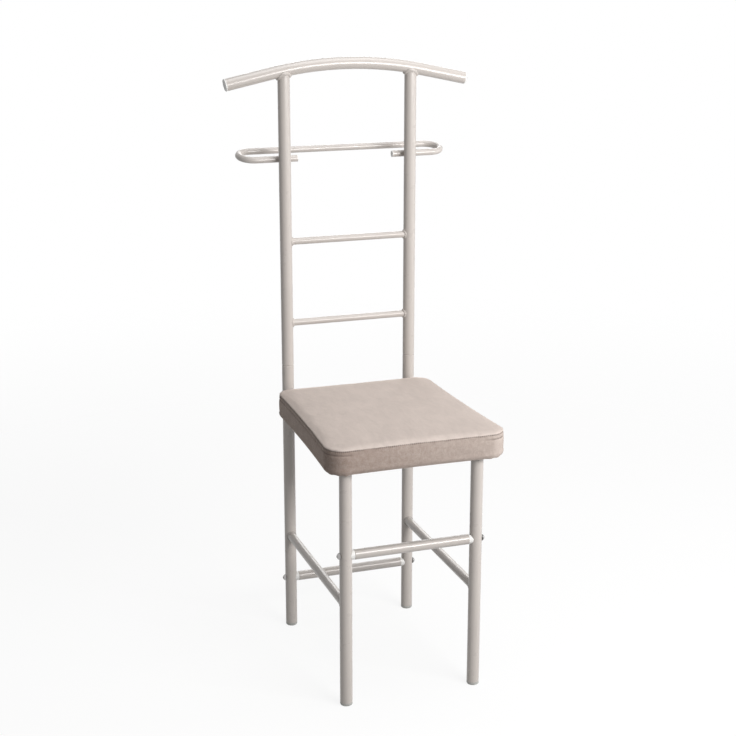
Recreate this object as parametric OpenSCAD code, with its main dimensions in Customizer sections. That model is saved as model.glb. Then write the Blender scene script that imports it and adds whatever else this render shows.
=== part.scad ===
// Clothes valet chair: a padded seat on a welded and bolted round-tube frame, with an upper frame that holds
// two rungs, a looped trouser bar and a curved hanger bar.
// Millimetres. +Z is up, the front faces -Y, and the origin is on the floor under the middle of the whole chair.

/* [Frame tube] */
// Outside diameter of the legs, the posts and the hanger bar
tube_d = 22; // [19:0.5:26]
// Wall of that tube
tube_wall = 1.5; // [1:0.1:2.2]
// Distance between the left and the right leg, centre to centre
leg_spacing = 240; // [210:2:290]
// Distance between the front and the rear leg, centre to centre
leg_depth = 342; // [320:1:380]
// Height of the seam where the upper frame plugs into the rear legs
joint_z = 528; // [505:1:560]
// Length of the hidden inner tube of that joint
spigot_l = 90; // [60:2:120]
// Chamfer on the two tube ends that meet at the seam
seam_chamfer = 1.2; // [0.4:0.1:1.6]

/* [Side frames] */
// Diameter of the side stretchers
stretcher_d = 16; // [12:0.5:18]
// Wall of the side stretchers
stretcher_wall = 1.2; // [0.8:0.1:2]
// Height of the side stretchers, to their centre
stretcher_z = 188; // [140:2:240]
// Diameter of the rails under the seat
rail_d = 16; // [14:0.5:18]
// Wall of the seat rails
rail_wall = 1.5; // [1:0.1:2]
// Height of the weld beads, measured along each tube from their joint
weld_size = 2.4; // [1.5:0.1:3]

/* [Feet] */
// Height of the foot that shows below the tube
foot_h = 6; // [4:0.5:10]
// Rounding of the foot's lower edge
foot_round = 3; // [1:0.5:4]
// Length of the foot's plug inside the tube
foot_plug_l = 16; // [10:1:25]

/* [Cross tubes] */
// Diameter of the two cross tubes
cross_d = 18; // [16:0.5:20]
// Wall of the cross tubes
cross_wall = 1.2; // [0.8:0.1:1.5]
// Height of the front cross tube, to its centre
front_cross_z = 281; // [250:1:320]
// Height of the rear cross tube, to its centre
rear_cross_z = 100; // [80:1:120]
// Chamfer on the ends of the cross tubes
cross_chamfer = 0.5; // [0.2:0.1:0.7]
// Length of the white cap that shows between a leg and a cross tube
cap_reach = 3.6; // [3:0.2:10]
// How far the cap's outside lies within the cross tube's outside
cap_step = 0.4; // [0.2:0.1:0.6]
// Length of the cap's plug inside the cross tube
cap_plug_l = 15; // [13:0.5:22]

/* [Fasteners] */
// Thread diameter of the bolts and the seat screws
bolt_d = 6; // [5:0.5:6.5]
// Diameter of the domed bolt heads
bolt_head_d = 12.5; // [11:0.5:14]
// Height of the domed bolt heads
bolt_head_h = 5; // [3.5:0.25:6]
// Width of the hexagon nuts across their flats
nut_af = 10; // [9:0.5:10.5]
// Height of the hexagon nuts
nut_h = 5; // [4:0.25:6]
// Diameter of the seat screws' pan heads
screw_head_d = 12; // [10:0.5:14]
// Height of the seat screws' pan heads
screw_head_h = 3.5; // [2.5:0.25:5]
// Length of the seat screws under the head
screw_l = 30; // [27:0.5:31]
// Distance between the two seat screws of a rail
screw_spacing = 190; // [120:5:240]

/* [Seat] */
// Height of the crown of the seat
seat_top = 494; // [470:1:500]
// Thickness of the upholstered seat, from its underside to its crown
seat_t = 55; // [48:1:65]
// Depth of the seat from front to rear
seat_l = 370; // [350:1:374]
// Width of the seat at its front edge
seat_front_w = 325; // [290:1:350]
// Width of the seat at its rear edge
seat_rear_w = 302; // [280:1:330]
// Gap between the seat's rear edge and the rear legs
seat_rear_gap = 5; // [3:0.5:12]
// Corner radius at the front of the seat, seen from above
front_corner_r = 34; // [28:1:45]
// Corner radius at the rear of the seat, seen from above
rear_corner_r = 30; // [28:1:45]
// How far the sides draw in between the corners
side_draw = 2.5; // [0:0.5:5]
// Rise of the crown above the seat's top edge
crown = 5; // [2:0.5:9]
// Height of the rolled edge between the seam and the crown
edge_roll_h = 7; // [6:0.5:12]
// Width of the rolled edge, seen from above
edge_roll_w = 17; // [10:1:24]
// Radius of the roll at the lower edge
base_roll = 10; // [7:0.5:12]
// Depth that the sewn seam is drawn in
seam_depth = 1.4; // [0.5:0.1:2]
// Thickness of the cover with its padding layer
cover_t = 1.5; // [1:0.1:2.5]
// Width of the cover's fold under the board
fold_w = 22; // [16:1:26]
// Thickness of the plywood board
board_t = 12; // [10:0.5:15]
// Thickness of the lining under the board
lining_t = 0.8; // [0.5:0.1:1.5]

/* [Rungs] */
// Diameter of the two rungs
rung_d = 12.5; // [10:0.5:16]
// Wall of the rungs
rung_wall = 1; // [0.8:0.1:1.5]
// Height of the lower rung, to its centre
lower_rung_z = 608.5; // [590:0.5:660]
// Height of the upper rung, to its centre
upper_rung_z = 761; // [700:1:820]

/* [Hanger bar] */
// Height of the top of the hanger bar, which is the height of the chair
chair_h = 1090; // [1020:2:1180]
// Width of the hanger bar over its end caps
hanger_w = 460; // [400:2:520]
// Radius of the bend in the middle of the hanger bar, to the tube's centre
hanger_bend_r = 685; // [650:5:800]
// Angle that each end of the hanger bar slopes down
hanger_slope = 12; // [11.5:0.25:14]
// Thickness of the caps on the hanger bar's ends
hanger_cap_t = 2.8; // [1:0.1:4]
// Height of the larger weld beads under the hanger bar, measured along each tube from their joint
hanger_weld_size = 3.4; // [2:0.1:4]
// Distance below the bar's centre at which those beads round off the peak of the joint
hanger_weld_peak = 5; // [2:0.5:7]

/* [Trouser bar] */
// Diameter of the trouser bar
bar_d = 12; // [10:0.5:14]
// Wall of the trouser bar
bar_wall = 1; // [0.8:0.1:1.5]
// Width of the trouser bar's loop
bar_w = 400; // [360:2:440]
// Radius of the bends at the ends of the loop, to the tube's centre
bar_bend_r = 25.8; // [22:0.2:32]
// Height of the run that is welded to the posts, to its centre
bar_z = 910; // [860:2:960]
// Angle that the loop rises towards the rear
bar_tilt = 10; // [0:0.5:15]
// Distance between the two open ends of the loop
bar_gap = 184; // [150:2:196]

/* [Clearances] */
// Gap between a plug or spigot and the tube around it
fit_gap = 0.2; // [0.1:0.05:0.3]
// Gap between a coped tube or a bead and the tube that it is welded to
weld_gap = 0.15; // [0.12:0.01:0.2]
// Gap between the soft parts of the seat and their neighbours
soft_gap = 0.3; // [0.2:0.05:0.4]
// Extra diameter of the holes that bolts and screws pass through
hole_gap = 0.6; // [0.4:0.1:1]

/* [Hidden] */
$fn = 64;
tube_r = tube_d / 2;
tube_bore = tube_d - 2 * tube_wall;
bar_r = bar_d / 2;
bolt_hole = bolt_d + hole_gap;

// Left and right, front and rear
leg_x = leg_spacing / 2;
bar_offset = tube_r + weld_gap + bar_r;
chair_depth = seat_l + seat_rear_gap + tube_r + bar_offset + 2 * bar_bend_r * cos(bar_tilt) + bar_r;
seat_front_y = -chair_depth / 2;
seat_y = seat_front_y + seat_l / 2;
rear_y = seat_front_y + seat_l + seat_rear_gap + tube_r;
front_y = rear_y - leg_depth;

// Levels of the seat, from the underside of the cover down to the rails and up to the board
seat_z = seat_top - seat_t;
board_z = seat_z + cover_t + soft_gap;
lining_z = seat_z - soft_gap - lining_t;
rail_top = lining_z - soft_gap;
rail_z = rail_top - rail_d / 2;
edge_z = seat_top - crown;
seam_z = edge_z - edge_roll_h;
side_bulge = 0.8;
board_inset = base_roll + side_bulge;
lining_inset = fold_w - 8;
plug_flange = 1.5;
rib_h = 0.12;

// Cross tubes and their bolts
cap_face = tube_r + cap_reach;
cross_l = leg_spacing - 2 * cap_face;
cap_plug_d = cross_d - 2 * cross_wall - 2 * fit_gap;
bolt_l = tube_r + fit_gap + cap_face + cap_plug_l + 2;
nut_x = cap_face + cap_plug_l - nut_h;
socket_af = 4;

// T-nuts
t_flange_d = 18;
t_flange_t = 1.2;
t_barrel_d = bolt_d + 1.8;
t_barrel_l = 9;

// Hanger bar: its arc, and how far each straight end runs on from the arc
hanger_z = chair_h - tube_r;
hanger_arc_x = hanger_bend_r * sin(hanger_slope);
hanger_arc_z = hanger_z - hanger_bend_r * (1 - cos(hanger_slope));
hanger_end_x = hanger_w / 2 - tube_r * sin(hanger_slope) - hanger_cap_t * cos(hanger_slope);
hanger_end_l = (hanger_end_x - hanger_arc_x) / cos(hanger_slope);
bend_mark = 0.05;
seam_cut = min(seam_chamfer, tube_wall - 0.2);
post_lean = asin(leg_x / hanger_bend_r);
post_meet_z = hanger_z - hanger_bend_r * (1 - cos(post_lean));

// Trouser bar: centre of its end bends
bar_bend_x = bar_w / 2 - bar_r - bar_bend_r;
bar_end_x = bar_gap / 2;

// Number of points on a weld bead's ring, and on a corner and a side of the seat's outline
bead_steps = 24;
corner_steps = 5;
side_steps = 4;

frame_paint = [0.86, 0.82, 0.78];
cap_white = [0.95, 0.94, 0.92];
bolt_metal = [0.62, 0.61, 0.6];
velvet = [0.76, 0.7, 0.66];

// ---- Shared shapes ----

// A cylinder along X, centred on the origin or starting there
module rod_x(d, l, center = false) {
    rotate([0, 90, 0]) cylinder(d = d, h = l, center = center);
}

// A cylinder along Y that starts at the origin
module rod_y(d, l) {
    rotate([-90, 0, 0]) cylinder(d = d, h = l);
}

// An upright tube from z0 to z1, with a chamfer on the outer edge of either end
module upright_tube(z0, z1, low_chamfer = 0, high_chamfer = 0) {
    rotate_extrude()
        polygon(concat(
            [[tube_bore / 2, z0], [tube_r - low_chamfer, z0]],
            low_chamfer > 0 ? [[tube_r, z0 + low_chamfer]] : [],
            high_chamfer > 0 ? [[tube_r, z1 - high_chamfer]] : [],
            [[tube_r - high_chamfer, z1], [tube_bore / 2, z1]]
        ));
}

// Both upright tubes that a piece between the legs or posts is coped against
module coping_pair(spread, along) {
    for (s = [-1, 1])
        translate(along == "x" ? [s * spread / 2, 0, 0] : [0, s * spread / 2, 0])
            cylinder(r = tube_r + weld_gap, h = 4 * tube_d, center = true);
}

// A tube between two uprights, coped to both, centred on the origin
module coped_tube(d, wall, spread, along) {
    difference() {
        rotate(along == "x" ? [0, 90, 0] : [90, 0, 0])
            difference() {
                cylinder(d = d, h = spread, center = true);
                cylinder(d = d - 2 * wall, h = spread + 1, center = true);
            }
        coping_pair(spread, along);
    }
}

// ---- Weld beads ----

function unit(v) = v / norm(v);

// One cross-section of the bead round a branch tube of radius r that stands along +Z on a main tube of radius
// big_r. The main tube lies along X, raised by lean degrees towards +X. t is the angle round the branch.
// The section is a convex fillet that touches neither tube: along the branch, out to its bulge, along the main.
// Where the joint rises nearer than peak to the main tube's centre, the bead bridges it, and its lip is drawn in
// to the main tube.
function bead_section(r, big_r, lean, size, peak, t) =
    let (
        c = cos(t),
        s = sin(t),
        w = sqrt(max(peak * peak, big_r * big_r - r * r * s * s)),
        foot = [r, (w + r * c * sin(lean)) / cos(lean)],
        n = unit([r * s * s - w * c * sin(lean), w * cos(lean)]),
        m = [n[1], -n[0]],
        out = unit([1, 0] + n),
        up = [0, 1],
        lip = foot + size * m + weld_gap * n,
        far = norm([lip[0] * s, lip[1] * cos(lean) - lip[0] * c * sin(lean)]),
        seated = lip * (big_r + weld_gap) / far,
        section = [
            foot + size * up + weld_gap * [1, 0],
            foot + size * (0.72 * up + 0.2 * m + 0.34 * out),
            foot + size * (0.45 * (up + m) + 0.44 * out),
            foot + size * (0.2 * up + 0.72 * m + 0.34 * out),
            w > peak ? lip : [max(seated[0], r + weld_gap), seated[1]],
            foot + weld_gap * ([1, 0] + n)
        ]
    )
    [for (p = section) [p[0] * c, p[0] * s, p[1]]];

module weld_bead(r, big_r = tube_r, lean = 0, size = weld_size, peak = 0) {
    rings = [for (i = [0 : bead_steps - 1])
        bead_section(r, big_r, lean, size, peak, 360 * i / bead_steps)];
    k = len(rings[0]);
    polyhedron(
        [for (ring = rings) each ring],
        [for (i = [0 : bead_steps - 1], j = [0 : k - 1])
            let (
                a = i * k + j,
                b = i * k + (j + 1) % k,
                e = ((i + 1) % bead_steps) * k + j,
                f = ((i + 1) % bead_steps) * k + (j + 1) % k
            )
            each [[a, b, f], [a, f, e]]]
    );
}

// The bead where a branch tube leaves an upright towards +Y (way = 1) or -Y (way = -1)
module bead_y(r, way) {
    rotate([-90 * way, 0, 0]) rotate([0, 0, 90]) weld_bead(r);
}

// The same towards +X or -X
module bead_x(r, way) {
    rotate([0, 90 * way, 0]) weld_bead(r);
}

// ---- Legs and side frames ----

module bolt_hole_x(z) {
    translate([0, 0, z]) rod_x(bolt_hole, 2 * tube_d, center = true);
}

module front_leg() {
    difference() {
        upright_tube(foot_h, rail_top - plug_flange);
        bolt_hole_x(front_cross_z);
    }
}

module rear_leg() {
    difference() {
        upright_tube(foot_h, joint_z, high_chamfer = seam_cut);
        bolt_hole_x(rear_cross_z);
    }
}

// Two pieces between a front and a rear leg, at one side
module between_legs(side) {
    translate([side * leg_x, (front_y + rear_y) / 2, 0]) children();
}

module side_stretcher(side) {
    between_legs(side)
        translate([0, 0, stretcher_z]) coped_tube(stretcher_d, stretcher_wall, leg_depth, "y");
}

module screw_places() {
    for (s = [-1, 1])
        translate([0, s * screw_spacing / 2, 0]) children();
}

module seat_rail(side) {
    between_legs(side)
        difference() {
            translate([0, 0, rail_z]) coped_tube(rail_d, rail_wall, leg_depth, "y");
            screw_places() translate([0, 0, rail_z]) cylinder(d = bolt_hole, h = 2 * rail_d, center = true);
        }
}

// The four beads at the ends of a pair of tubes between the legs
module beads_between_legs(r, z) {
    for (side = [-1, 1], end = [-1, 1])
        translate([side * leg_x, end < 0 ? front_y : rear_y, z]) bead_y(r, -end);
}

module left_front_leg() { color(frame_paint) translate([-leg_x, front_y, 0]) front_leg(); }
module right_front_leg() { color(frame_paint) translate([leg_x, front_y, 0]) front_leg(); }
module left_rear_leg() { color(frame_paint) translate([-leg_x, rear_y, 0]) rear_leg(); }
module right_rear_leg() { color(frame_paint) translate([leg_x, rear_y, 0]) rear_leg(); }
module left_side_stretcher() { color(frame_paint) side_stretcher(-1); }
module right_side_stretcher() { color(frame_paint) side_stretcher(1); }
module left_seat_rail() { color(frame_paint) seat_rail(-1); }
module right_seat_rail() { color(frame_paint) seat_rail(1); }
module stretcher_welds() { color(frame_paint) beads_between_legs(stretcher_d / 2, stretcher_z); }

// The rail's beads are ground flush with the rail, where the seat lies on it
module rail_welds() {
    color(frame_paint)
        difference() {
            beads_between_legs(rail_d / 2, rail_z);
            translate([-leg_spacing, -leg_depth, rail_top]) cube([2 * leg_spacing, 2 * leg_depth, 2 * rail_d]);
        }
}

// ---- Feet and leg plugs ----

// A moulded glide: a disc with a rounded lower edge, and a hollow plug with three gripping ribs in the tube
module foot() {
    plug_r = tube_bore / 2 - fit_gap;
    plug_in = plug_r - 2;
    ribs = [for (i = [1 : 3]) foot_h + foot_plug_l * i / 4];
    rotate_extrude()
        polygon(concat(
            [[0, 0]],
            [for (a = [0 : 15 : 90]) [tube_r - foot_round * (1 - sin(a)), foot_round * (1 - cos(a))]],
            [[tube_r, foot_h], [plug_r, foot_h]],
            [for (z = ribs) each [[plug_r, z - 1], [plug_r + rib_h, z], [plug_r, z + 1]]],
            [[plug_r, foot_h + foot_plug_l - 1], [plug_r - 1, foot_h + foot_plug_l]],
            [[plug_in, foot_h + foot_plug_l], [plug_in, foot_h], [0, foot_h]]
        ));
}

module leg_plug() {
    plug_r = tube_bore / 2 - fit_gap;
    translate([0, 0, rail_top - plug_flange]) {
        cylinder(r = tube_r, h = plug_flange);
        translate([0, 0, -10])
            difference() {
                cylinder(r = plug_r, h = 10);
                translate([0, 0, -1]) cylinder(r = plug_r - 2, h = 10);
            }
    }
}

module left_front_foot() { color(frame_paint) translate([-leg_x, front_y, 0]) foot(); }
module right_front_foot() { color(frame_paint) translate([leg_x, front_y, 0]) foot(); }
module left_rear_foot() { color(frame_paint) translate([-leg_x, rear_y, 0]) foot(); }
module right_rear_foot() { color(frame_paint) translate([leg_x, rear_y, 0]) foot(); }
module front_leg_plugs() {
    color("black")
        for (side = [-1, 1]) translate([side * leg_x, front_y, 0]) leg_plug();
}

// ---- Cross tubes, saddle caps and bolts ----

module cross_tube() {
    r = cross_d / 2;
    far = cross_l - cross_chamfer;
    rotate([0, 90, 0])
        translate([0, 0, -cross_l / 2])
            rotate_extrude()
                polygon([
                    [r - cross_wall, 0], [r - cross_chamfer, 0], [r, cross_chamfer],
                    [r, far], [r - cross_chamfer, cross_l], [r - cross_wall, cross_l]
                ]);
}

// A cap that hugs the leg on the Z axis with its concave face and plugs the cross tube that leaves towards +X
module saddle_cap() {
    difference() {
        union() {
            rod_x(cross_d - 2 * cap_step, cap_face);
            rod_x(cap_plug_d, cap_face + cap_plug_l);
        }
        cylinder(r = tube_r + fit_gap, h = 2 * cross_d, center = true);
        rod_x(bolt_hole, 2 * (cap_face + cap_plug_l));
        translate([nut_x - fit_gap, 0, 0])
            rotate([0, 90, 0]) cylinder(d = nut_af / cos(30) + 2 * fit_gap, h = 2 * nut_h, $fn = 6);
    }
}

// A bolt with its head outside the leg on the Z axis and its shank towards +X
module cross_bolt() {
    dome_r = (bolt_head_d * bolt_head_d / 4 + bolt_head_h * bolt_head_h) / (2 * bolt_head_h);
    translate([-tube_r - fit_gap, 0, 0])
        difference() {
            union() {
                rod_x(bolt_d, bolt_l);
                intersection() {
                    translate([dome_r - bolt_head_h, 0, 0]) sphere(r = dome_r);
                    translate([-bolt_head_h, 0, 0]) rod_x(2 * bolt_head_d, bolt_head_h);
                }
            }
            translate([-bolt_head_h - 1, 0, 0])
                rotate([0, 90, 0]) cylinder(d = socket_af / cos(30), h = 1 + bolt_head_h * 0.6, $fn = 6);
        }
}

module cross_nut() {
    translate([nut_x, 0, 0])
        difference() {
            rotate([0, 90, 0]) cylinder(d = nut_af / cos(30), h = nut_h, $fn = 6);
            translate([-1, 0, 0]) rod_x(bolt_d + 2 * fit_gap, nut_h + 2);
        }
}

// Puts a piece on a leg: side -1 is left and +1 right, where the piece is mirrored
module at_leg(side, y, z) {
    translate([side * leg_x, y, z]) mirror([side > 0 ? 1 : 0, 0, 0]) children();
}

module at_cross_ends() {
    for (side = [-1, 1]) {
        at_leg(side, front_y, front_cross_z) children();
        at_leg(side, rear_y, rear_cross_z) children();
    }
}

module front_cross_tube() { color(frame_paint) translate([0, front_y, front_cross_z]) cross_tube(); }
module rear_cross_tube() { color(frame_paint) translate([0, rear_y, rear_cross_z]) cross_tube(); }
module front_left_saddle_cap() { color(cap_white) at_leg(-1, front_y, front_cross_z) saddle_cap(); }
module front_right_saddle_cap() { color(cap_white) at_leg(1, front_y, front_cross_z) saddle_cap(); }
module rear_left_saddle_cap() { color(cap_white) at_leg(-1, rear_y, rear_cross_z) saddle_cap(); }
module rear_right_saddle_cap() { color(cap_white) at_leg(1, rear_y, rear_cross_z) saddle_cap(); }
module cross_bolts() { color(bolt_metal) at_cross_ends() cross_bolt(); }
module cross_nuts() { color(bolt_metal) at_cross_ends() cross_nut(); }

// ---- Seat ----

// Outline of the seat seen from above, about the seat's own centre, drawn in by inset all round. The rear is
// narrower than the front, the corners are arcs, and each side sags inwards between its corners.
function seat_corner(x_sign, y_sign, turn, inset) =
    let (
        r = y_sign > 0 ? rear_corner_r : front_corner_r,
        w = y_sign > 0 ? seat_rear_w : seat_front_w,
        centre = [x_sign * (w / 2 - r), y_sign * (seat_l / 2 - r)]
    )
    [for (i = [0 : corner_steps])
        let (a = turn + 90 * i / corner_steps) centre + (r - inset) * [cos(a), sin(a)]];

function seat_side(a, b) =
    let (inward = unit([a[1] - b[1], b[0] - a[0]]))
    [for (i = [1 : side_steps - 1])
        let (u = i / side_steps) a + (b - a) * u + inward * side_draw * 4 * u * (1 - u)];

function seat_outline(inset) =
    let (
        corners = [
            seat_corner(1, 1, 0, inset), seat_corner(-1, 1, 90, inset),
            seat_corner(-1, -1, 180, inset), seat_corner(1, -1, 270, inset)
        ]
    )
    [for (i = [0 : 3]) each concat(corners[i], seat_side(corners[i][corner_steps], corners[(i + 1) % 4][0]))];

// The outline as a ring in space, shrunk towards the seat's centre
function seat_ring(inset, z, shrink = 1) =
    [for (p = seat_outline(inset)) [p[0] * shrink, seat_y + p[1] * shrink, z]];

// Rings of the upholstered form, from its lower edge up to its crown. thick moves them inwards, as the inside of
// a cover of that thickness.
function side_rings(thick) =
    concat(
        [for (a = [0 : 30 : 90])
            seat_ring(
                board_inset - (base_roll - thick) * sin(a),
                seat_z + base_roll - (base_roll - thick) * cos(a)
            )],
        [
            seat_ring(thick, (seat_z + base_roll + seam_z) / 2),
            seat_ring(thick + 0.6, seam_z - 2),
            seat_ring(thick + seam_depth, seam_z),
            seat_ring(thick + 0.8, seam_z + 2)
        ]
    );

function top_rings(thick) =
    concat(
        [for (a = [30 : 30 : 90])
            seat_ring(
                thick + 0.8 + edge_roll_w * (1 - cos(a)),
                seam_z + 2 + (edge_roll_h - 2) * sin(a) - thick * sin(a)
            )],
        [for (f = [0.12, 0.3, 0.55, 0.8])
            seat_ring(thick + 0.8 + edge_roll_w, edge_z - thick + crown * (1 - (1 - f) * (1 - f)), 1 - f)]
    );

// A closed skin over rings of equal length, with a point at either end
module loft(rings, first, last) {
    n = len(rings[0]);
    m = len(rings);
    end = m * n + 1;
    polyhedron(
        concat([first], [for (ring = rings) each ring], [last]),
        concat(
            [for (j = [0 : n - 1]) [0, 1 + j, 1 + (j + 1) % n]],
            [for (i = [0 : m - 2], j = [0 : n - 1])
                let (
                    a = 1 + i * n + j,
                    b = 1 + i * n + (j + 1) % n,
                    e = a + n,
                    f = b + n
                )
                each [[a, e, f], [a, f, b]]],
            [for (j = [0 : n - 1]) [end, end - n + (j + 1) % n, end - n + j]]
        )
    );
}

function reversed(list) = [for (i = [len(list) - 1 : -1 : 0]) list[i]];

// The cover: its inside from the crown down to the fold, then its outside from the fold up to the crown
module seat_cover() {
    inner = concat([seat_ring(fold_w, seat_z + cover_t)], side_rings(cover_t), top_rings(cover_t));
    outer = concat([seat_ring(fold_w, seat_z)], side_rings(0), top_rings(0));
    color(velvet)
        loft(
            concat(reversed(inner), outer),
            [0, seat_y, seat_top - cover_t],
            [0, seat_y, seat_top]
        );
}

// The foam lies on the board and fills the cover
module seat_foam() {
    thick = cover_t + soft_gap;
    foam_z = board_z + board_t + soft_gap;
    sides = [for (ring = side_rings(thick)) if (ring[0][2] > foam_z + 1) ring];
    color([0.93, 0.9, 0.75])
        loft(
            concat([seat_ring(thick + 0.2, foam_z)], sides, top_rings(thick)),
            [0, seat_y, foam_z],
            [0, seat_y, seat_top - thick]
        );
}

// Puts the children at the four screws, on the centre line of each rail
module at_seat_screws() {
    for (side = [-1, 1]) between_legs(side) screw_places() children();
}

module seat_plate(inset, z, t) {
    translate([0, seat_y, z]) linear_extrude(t) polygon(seat_outline(inset));
}

module seat_board() {
    color("burlywood")
        difference() {
            seat_plate(board_inset, board_z, board_t);
            at_seat_screws() {
                translate([0, 0, board_z - 1]) cylinder(d = t_barrel_d + 2 * fit_gap, h = board_t + 2);
                translate([0, 0, board_z + board_t - t_flange_t]) cylinder(d = t_flange_d + 2 * fit_gap, h = 2 * t_flange_t);
            }
        }
}

module seat_underlining() {
    color([0.1, 0.1, 0.1])
        difference() {
            seat_plate(lining_inset, lining_z, lining_t);
            at_seat_screws() translate([0, 0, lining_z - 1]) cylinder(d = bolt_hole, h = lining_t + 2);
        }
}

module seat_t_nuts() {
    top = board_z + board_t;
    color(bolt_metal)
        at_seat_screws()
            difference() {
                union() {
                    translate([0, 0, top - t_flange_t]) cylinder(d = t_flange_d, h = t_flange_t);
                    translate([0, 0, top - t_barrel_l]) cylinder(d = t_barrel_d, h = t_barrel_l);
                }
                translate([0, 0, top - t_barrel_l - 1]) cylinder(d = bolt_d + 2 * fit_gap, h = t_barrel_l + 2);
            }
}

// Pan-head screws, head under the rail
module seat_screws() {
    head_z = rail_z - rail_d / 2 - fit_gap;
    color(bolt_metal)
        at_seat_screws()
            translate([0, 0, head_z])
                difference() {
                    union() {
                        cylinder(d = bolt_d, h = screw_l);
                        rotate_extrude()
                            polygon(concat(
                                [[0, 0], [screw_head_d / 2, 0]],
                                [for (a = [0 : 15 : 90])
                                    [screw_head_d / 2 - 2 * (1 - cos(a)), -screw_head_h + 2 * (1 - sin(a))]],
                                [[0, -screw_head_h]]
                            ));
                    }
                    translate([0, 0, -screw_head_h - 1])
                        cylinder(d = socket_af / cos(30), h = 1 + screw_head_h * 0.6, $fn = 6);
                }
}

// ---- Upper frame ----

// The push joint's inner tube, half in the leg and half in the post
module spigot() {
    r = tube_bore / 2 - fit_gap;
    half = spigot_l / 2;
    translate([0, 0, joint_z])
        rotate_extrude()
            polygon([
                [r - 1.5, -half], [r - 1, -half], [r, -half + 2],
                [r, half - 2], [r - 1, half], [r - 1.5, half]
            ]);
}

// The bent middle of the hanger bar with any diameter, in the plane of the posts
module hanger_arc(d) {
    translate([0, rear_y, hanger_z - hanger_bend_r])
        rotate([90, 0, 0])
            rotate([0, 0, 90 - hanger_slope])
                rotate_extrude(angle = 2 * hanger_slope, $fn = 360)
                    translate([hanger_bend_r, 0]) circle(d = d, $fn = 64);
}

// Puts the children where the left (side -1) or the right bend ends, with +Z along the straight end
module at_hanger_end(side) {
    translate([side * hanger_arc_x, rear_y, hanger_arc_z]) rotate([0, side * (90 + hanger_slope), 0]) children();
}

// The whole form: the arc, the two straight ends and the faint ring that the bender leaves where the bend ends
module hanger_form(d, over = 0) {
    hanger_arc(d);
    for (side = [-1, 1])
        at_hanger_end(side) {
            cylinder(d = d, h = hanger_end_l + over);
            translate([0, 0, -1]) cylinder(d = d + 2 * bend_mark, h = 2);
        }
}

module upper_post(side) {
    difference() {
        translate([side * leg_x, rear_y, 0]) upright_tube(joint_z, post_meet_z, low_chamfer = seam_cut);
        hanger_arc(tube_d + 2 * weld_gap);
    }
}

module hanger_bar() {
    color(frame_paint)
        difference() {
            hanger_form(tube_d);
            hanger_form(tube_bore, over = 1);
        }
}

// A flat cap with a softened rim and a plug in the end of the hanger bar
module hanger_cap(side) {
    soft = 0.6;
    plug_r = tube_bore / 2 - fit_gap;
    at_hanger_end(side)
        translate([0, 0, hanger_end_l])
            rotate_extrude()
                polygon([
                    [0, hanger_cap_t], [tube_r - soft, hanger_cap_t], [tube_r, hanger_cap_t - soft],
                    [tube_r, 0], [plug_r, 0], [plug_r, -13], [plug_r - 1, -14], [plug_r - 2, -14],
                    [plug_r - 2, 0], [0, 0]
                ]);
}

module rung(z) {
    translate([0, rear_y, z]) coped_tube(rung_d, rung_wall, leg_spacing, "x");
}

module left_spigot() { color(bolt_metal) translate([-leg_x, rear_y, 0]) spigot(); }
module right_spigot() { color(bolt_metal) translate([leg_x, rear_y, 0]) spigot(); }
module left_upper_post() { color(frame_paint) upper_post(-1); }
module right_upper_post() { color(frame_paint) upper_post(1); }
module left_hanger_cap() { color(cap_white) hanger_cap(-1); }
module right_hanger_cap() { color(cap_white) hanger_cap(1); }
module lower_rung() { color(frame_paint) rung(lower_rung_z); }
module upper_rung() { color(frame_paint) rung(upper_rung_z); }

module rung_welds() {
    color(frame_paint)
        for (side = [-1, 1], z = [lower_rung_z, upper_rung_z])
            translate([side * leg_x, rear_y, z]) bead_x(rung_d / 2, -side);
}

// The beads under the hanger bar. Its slope at the post leans the main tube, and its bend brings it a little
// nearer at the bead's rim, which counts as a thicker tube.
module hanger_welds() {
    rim = tube_r + hanger_weld_size;
    bent_r = tube_r + rim * rim / (2 * hanger_bend_r);
    color(frame_paint)
        for (side = [-1, 1])
            translate([side * leg_x, rear_y, post_meet_z])
                rotate([180, 0, 0])
                    weld_bead(tube_r, bent_r, side * post_lean, hanger_weld_size, hanger_weld_peak);
}

// ---- Trouser bar ----

// Places the children in the loop's plane: X to the right, Y back along the slope, the front run on the X axis
module in_bar_plane() {
    translate([0, rear_y + bar_offset, bar_z]) rotate([bar_tilt, 0, 0]) children();
}

// The open loop: two short front runs from their open ends, two half-turn bends and the long rear run
module bar_form(d, over = 0) {
    in_bar_plane() {
        for (side = [-1, 1]) {
            translate([side < 0 ? -bar_bend_x : bar_end_x - over, 0, 0])
                rod_x(d, bar_bend_x - bar_end_x + over);
            translate([side * bar_bend_x, bar_bend_r, 0])
                rotate([0, 0, side < 0 ? 90 : -90])
                    rotate_extrude(angle = 180, $fn = 96) translate([bar_bend_r, 0]) circle(d = d, $fn = 48);
        }
        translate([0, 2 * bar_bend_r, 0]) rod_x(d, 2 * bar_bend_x, center = true);
    }
}

module trouser_bar() {
    color(frame_paint)
        difference() {
            bar_form(bar_d);
            bar_form(bar_d - 2 * bar_wall, over = 1);
        }
}

// Flat plugs with a softened rim in the two open ends
module trouser_bar_plugs() {
    plug_r = bar_r - bar_wall - fit_gap;
    color(cap_white)
        in_bar_plane()
            for (side = [-1, 1])
                translate([side * bar_end_x, 0, 0])
                    rotate([0, -side * 90, 0])
                        rotate_extrude()
                            polygon([
                                [0, 1.5], [bar_r - 0.5, 1.5], [bar_r, 1], [bar_r, 0],
                                [plug_r, 0], [plug_r, -8], [0, -8]
                            ]);
}

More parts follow.
